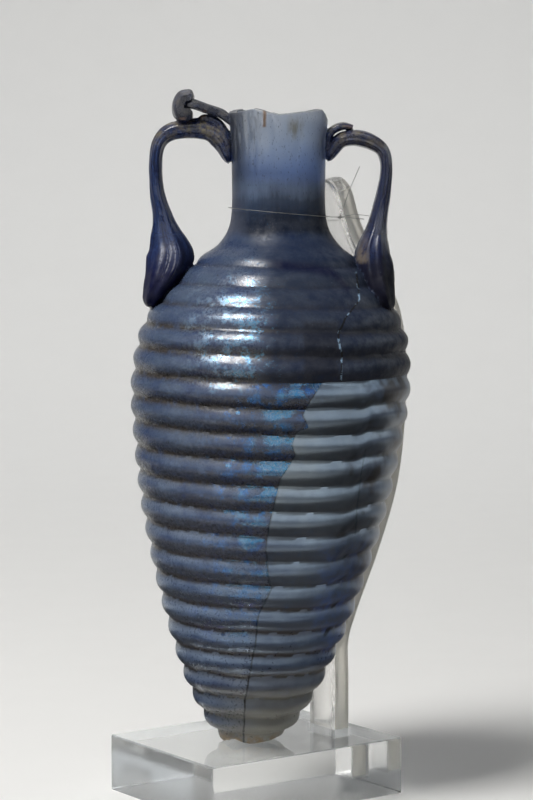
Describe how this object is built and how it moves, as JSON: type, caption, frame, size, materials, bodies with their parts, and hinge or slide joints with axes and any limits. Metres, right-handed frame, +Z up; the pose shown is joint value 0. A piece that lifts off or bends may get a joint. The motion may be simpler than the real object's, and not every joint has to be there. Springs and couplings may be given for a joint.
{
  "type": "glass perfume flask",
  "caption": "Ribbed blue glass perfume flask with side handles, broken at rim and tip, tied to a bent clear strip that rises from a clear block.",
  "frame": {"origin": "middle of the stand block's underside", "axes": "+Z up along the flask, +X to the viewer's right in the plane of the handles, +Y away from the viewer"},
  "size_m": [0.0637, 0.0597, 0.148],
  "materials": {
    "blue_glass": "weathered, with iridescent patches",
    "clear_acrylic": "clear, polished faces and edges",
    "nylon_thread": "fine single strand"
  },
  "bodies": {
    "root": {"glass_flask": "blue_glass", "stand_block": "clear_acrylic", "stand_strip": "clear_acrylic", "tie_thread": "nylon_thread"}
  },
  "joints": []
}
